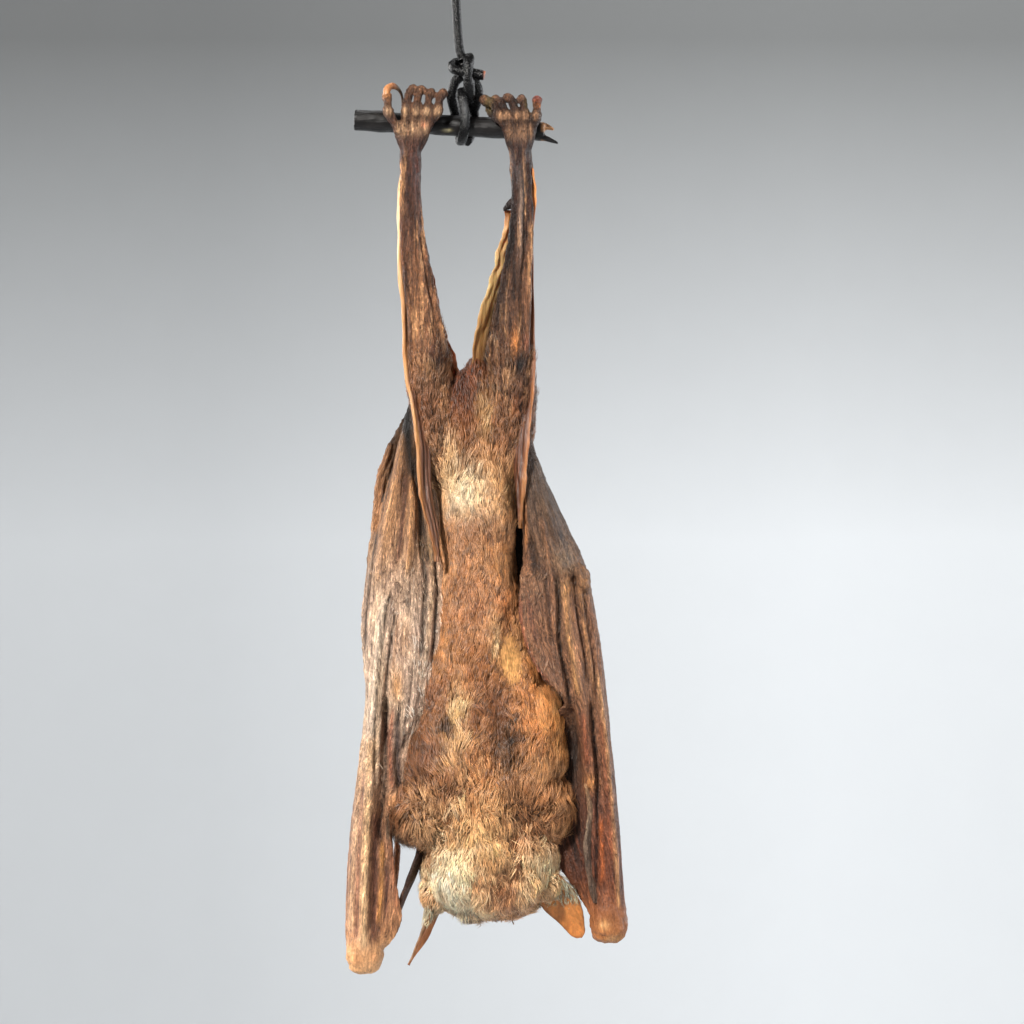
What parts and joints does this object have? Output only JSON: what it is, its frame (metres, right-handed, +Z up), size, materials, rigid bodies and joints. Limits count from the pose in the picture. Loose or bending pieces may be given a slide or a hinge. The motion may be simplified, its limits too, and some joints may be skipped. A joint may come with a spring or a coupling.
{
  "type": "mounted fruit bat",
  "caption": "Dried fruit bat, life size, hanging head down with folded wings from a short twig on a cord and wall peg.",
  "frame": {"origin": "middle of the wall plate's back face, on the wall", "axes": "+Z up, +Y into the wall; the bat hangs below and in front of the plate with its back towards -Y"},
  "size_m": [0.0986, 0.0951, 0.3997],
  "materials": {
    "plate": "satin black paint",
    "screw": "satin",
    "bark": "dark smooth bark, pale where it is broken",
    "cord": "semi-gloss",
    "sleeve": "satin",
    "fur": "short brown fur, paler on the rump and head",
    "eye": "gloss",
    "ear": "thin dried skin with grey down",
    "leg_skin": "dried wrinkled skin",
    "arm_skin": "dried skin over bone, slightly glossy",
    "membrane": "dried, pleated wing skin",
    "claw": "horn, semi-gloss"
  },
  "bodies": {
    "root": {"wall_plate": "plate", "wall_peg": "plate", "wall_screw_upper": "screw", "wall_screw_lower": "screw", "perch_twig": "bark", "cord": "cord", "cord_knot": "cord", "cord_sleeve": "sleeve", "trunk": "fur", "neck": "fur", "head": "fur", "eye_left": "eye", "eye_right": "eye", "ear_left": "ear", "ear_right": "ear", "foot_left": "leg_skin", "foot_right": "leg_skin", "shin_left": "leg_skin", "shin_right": "leg_skin", "thigh_left": "leg_skin", "thigh_right": "leg_skin", "upper_arm_left": "arm_skin", "upper_arm_right": "arm_skin", "forearm_left": "arm_skin", "forearm_right": "arm_skin", "wrist_left": "arm_skin", "wrist_right": "arm_skin", "hand_left": "arm_skin", "hand_right": "arm_skin", "thumb_left": "arm_skin", "thumb_right": "arm_skin", "wing_membrane_left": "membrane", "wing_membrane_right": "membrane", "front_membrane_left": "membrane", "front_membrane_right": "membrane", "leg_membrane_left": "membrane", "leg_membrane_right": "membrane", "tail_membrane_left": "membrane", "tail_membrane_right": "membrane", "neck_strap_left": "membrane", "neck_strap_right": "membrane", "toe_claw_left_1": "claw", "toe_claw_left_2": "claw", "toe_claw_left_3": "claw", "toe_claw_left_4": "claw", "toe_claw_left_5": "claw", "toe_claw_right_1": "claw", "toe_claw_right_2": "claw", "toe_claw_right_3": "claw", "toe_claw_right_4": "claw", "toe_claw_right_5": "claw", "thumb_claw_left": "claw", "thumb_claw_right": "claw"}
  },
  "joints": []
}
